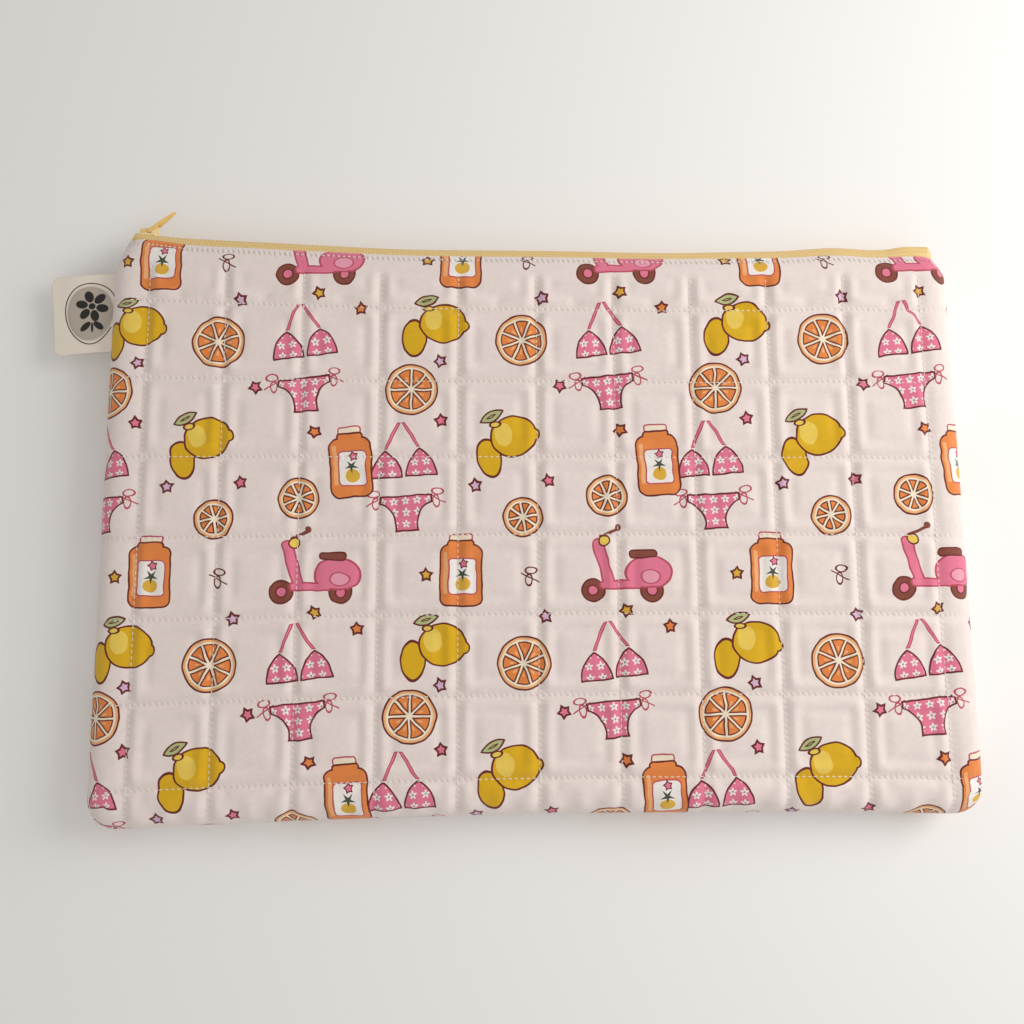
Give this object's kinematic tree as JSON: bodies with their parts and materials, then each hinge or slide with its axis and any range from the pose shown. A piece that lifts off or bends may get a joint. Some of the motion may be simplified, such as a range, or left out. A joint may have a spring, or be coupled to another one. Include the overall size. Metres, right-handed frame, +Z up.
{
  "type": "laptop sleeve",
  "caption": "Quilted cotton laptop sleeve with a zip along one long edge, a slider with a pull tab, and a small label in the side seam.",
  "frame": {"origin": "middle of the flat underside that the sleeve lies on, halfway between the side seams and between the bottom seam and the zip", "axes": "+X along the zip towards its open end, +Y from the bottom seam to the zip, +Z up out of the surface that the sleeve lies on"},
  "size_m": [0.4388, 0.2893, 0.0252],
  "materials": {
    "cotton": "plain-weave quilting cotton, printed with small summer motifs",
    "wadding": "lofty white polyester wadding",
    "lining": "plain rose cotton, matt",
    "zip_tape": "golden-yellow woven polyester tape with a herringbone rib",
    "zip_coil": "golden-yellow nylon monofilament coil",
    "slider_metal": "zinc die casting with glossy golden-yellow enamel",
    "thread": "off-white spun polyester sewing thread",
    "label": "warm grey-cream imitation leather with a fine grain",
    "label_ink": "matt black printed ink"
  },
  "bodies": {
    "pouch": {"back_outer": "cotton", "back_wadding": "wadding", "back_lining": "lining", "front_outer": "cotton", "front_wadding": "wadding", "front_lining": "lining", "seam_allowance": "cotton", "quilting_back": "thread", "quilting_front": "thread", "zip_tape_ends": "zip_tape", "zip_coil_end": "zip_coil", "zip_top_stops": "zip_coil", "zip_bottom_stop": "zip_coil", "label_tail": "label"},
    "front_lip": {"front_lip_outer": "cotton", "front_lip_wadding": "wadding", "front_lip_lining": "lining", "zip_tape_front": "zip_tape", "zip_coil_front": "zip_coil", "topstitch_front": "thread"},
    "back_lip": {"back_lip_outer": "cotton", "back_lip_wadding": "wadding", "back_lip_lining": "lining", "zip_tape_back": "zip_tape", "zip_coil_back": "zip_coil", "topstitch_back": "thread"},
    "slider": {"slider_body": "slider_metal", "slider_crown": "slider_metal"},
    "pull": {"pull_tab": "slider_metal"},
    "label": {"side_label": "label", "label_print": "label_ink"}
  },
  "joints": [
    {"name": "front_lip_open", "type": "hinge", "parent": "pouch", "child": "front_lip", "pos_m": [0, 0.123, 0.025], "axis": [1, 0, 0], "range_deg": [0, 60]},
    {"name": "back_lip_open", "type": "hinge", "parent": "pouch", "child": "back_lip", "pos_m": [0, 0.123, 0], "axis": [-1, 0, 0], "range_deg": [0, 36], "stiffness_Nm_per_rad": 0.05, "springref_deg": -5.73},
    {"name": "slider_travel", "type": "slide", "parent": "pouch", "child": "slider", "axis": [1, 0, 0], "range_m": [0, 0.3784]},
    {"name": "pull_swing", "type": "hinge", "parent": "slider", "child": "pull", "pos_m": [-0.1882, 0.1413, 0.0125], "axis": [0, 0, 1], "range_deg": [-43, 143]},
    {"name": "label_flex", "type": "hinge", "parent": "pouch", "child": "label", "pos_m": [-0.202, 0.0995, 0.0125], "axis": [0, 1, 0], "range_deg": [-60, 60], "stiffness_Nm_per_rad": 0.02}
  ]
}
